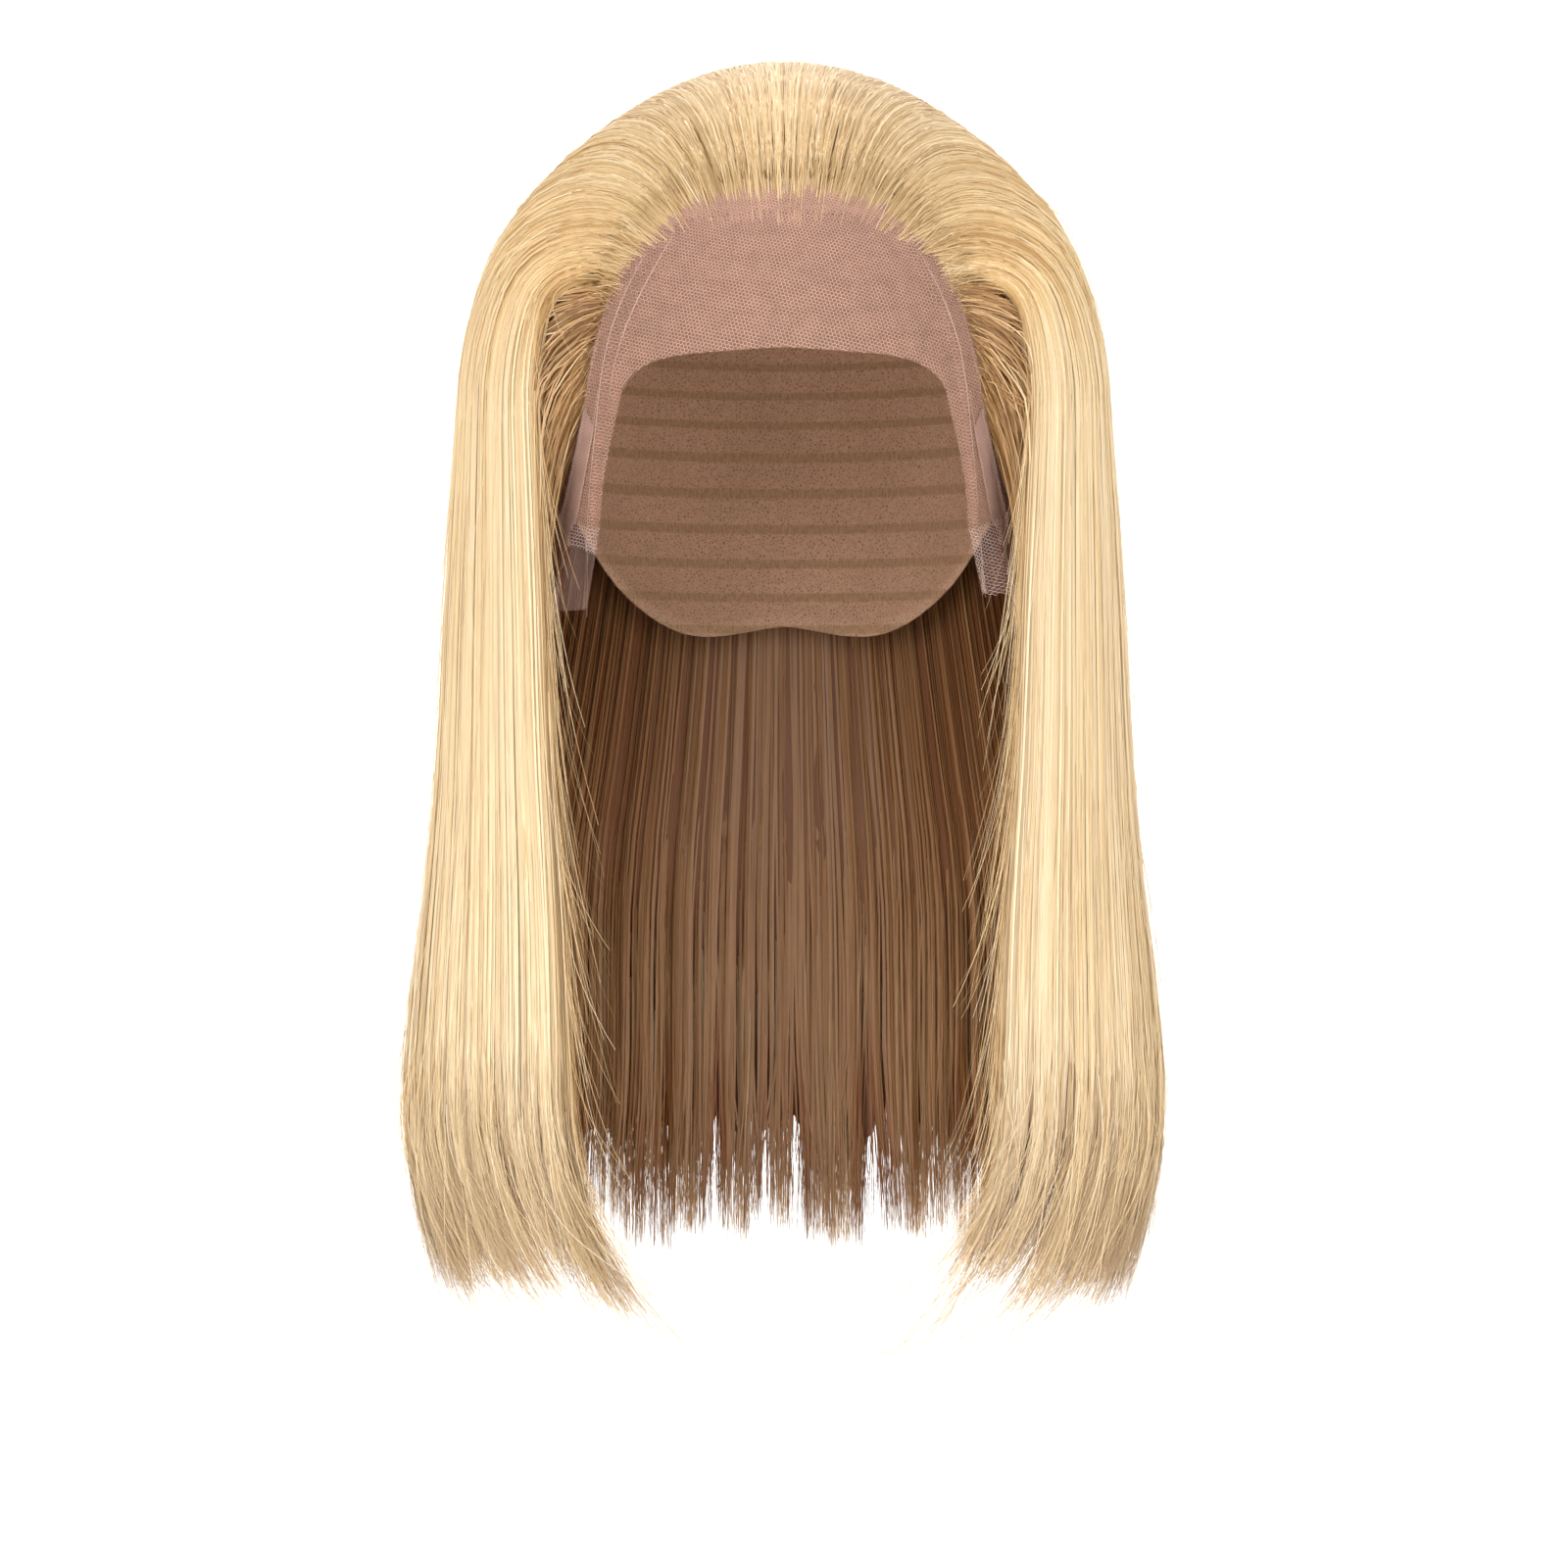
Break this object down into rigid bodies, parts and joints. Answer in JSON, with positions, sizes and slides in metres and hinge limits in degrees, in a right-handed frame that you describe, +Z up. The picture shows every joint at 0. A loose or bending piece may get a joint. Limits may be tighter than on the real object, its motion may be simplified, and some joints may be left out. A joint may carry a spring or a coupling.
{
  "type": "bob wig",
  "caption": "Straight long bob wig with a swept-back hairline, two front curtains of hair, a sheer lace front with side tails, and a thin open cap inside",
  "frame": {"origin": "top of the cap's inside, where the wig sits on the crown of a head", "axes": "+Z up along the hair's fall, -Y the way the face looks, +X on the right of someone who faces the wig"},
  "size_m": [0.2275, 0.2083, 0.371],
  "materials": {
    "hair": "smooth straight pale golden blonde hair",
    "shaded_hair": "straight golden brown hair, darker as it lies below the front locks",
    "lace": "fine pinkish brown see-through net",
    "cap_net": "plain matte stretch net"
  },
  "bodies": {
    "root": {"cap": "cap_net", "lace_front": "lace", "crown_and_back_hair": "hair", "left_front_hair": "hair", "right_front_hair": "hair", "left_temple_hair": "shaded_hair", "right_temple_hair": "shaded_hair"}
  },
  "joints": []
}
